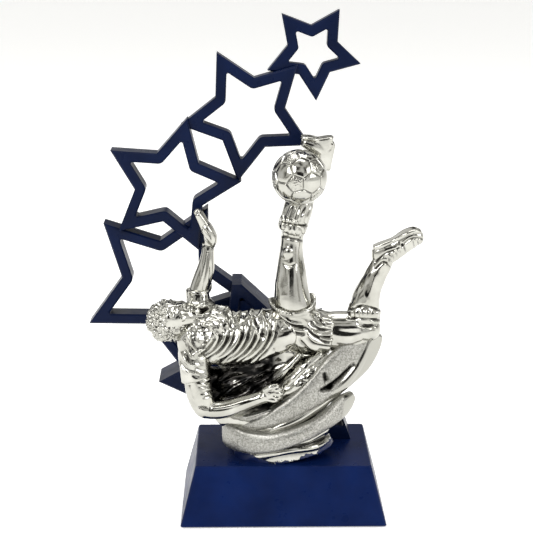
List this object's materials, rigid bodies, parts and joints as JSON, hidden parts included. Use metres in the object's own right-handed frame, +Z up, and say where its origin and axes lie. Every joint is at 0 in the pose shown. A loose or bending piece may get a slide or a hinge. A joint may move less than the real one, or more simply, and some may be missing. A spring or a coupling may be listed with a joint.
{
  "type": "football trophy",
  "caption": "Football trophy: plated player in an overhead kick on a swirl of water, before a tower of open blue stars on a tapered plinth.",
  "frame": {"origin": "centre of the felt's underside, where the trophy stands", "axes": "+Z up; the front of the trophy faces -Y; +X to the viewer's right"},
  "size_m": [0.1571, 0.068, 0.234],
  "materials": {
    "navy_paint": "satin navy paint on cast resin",
    "chrome_plate": "bright electroplate on cast resin",
    "matte_plate": "stippled, matte silver plate on cast resin",
    "steel": "zinc-plated",
    "felt": "black felt"
  },
  "bodies": {
    "root": {"base_plinth": "navy_paint", "base_felt": "felt", "star_foot": "navy_paint", "star_second": "navy_paint", "star_third": "navy_paint", "star_fourth": "navy_paint", "star_top": "navy_paint", "star_lap_dowels": "steel", "star_anchor_screws": "steel", "stump": "chrome_plate", "lower_wave": "matte_plate", "upper_wave": "matte_plate", "torso_shirt": "chrome_plate", "hips_shorts": "chrome_plate", "head": "chrome_plate", "raised_arm": "chrome_plate", "propping_arm": "chrome_plate", "kicking_leg": "chrome_plate", "trailing_leg": "chrome_plate", "football": "chrome_plate", "neck_peg": "steel", "arm_pegs": "steel", "waist_peg": "steel", "leg_pegs": "steel", "ball_peg": "steel", "column_pegs": "steel", "wave_pegs": "steel", "figure_bolt": "steel", "figure_washer": "steel"}
  },
  "joints": []
}
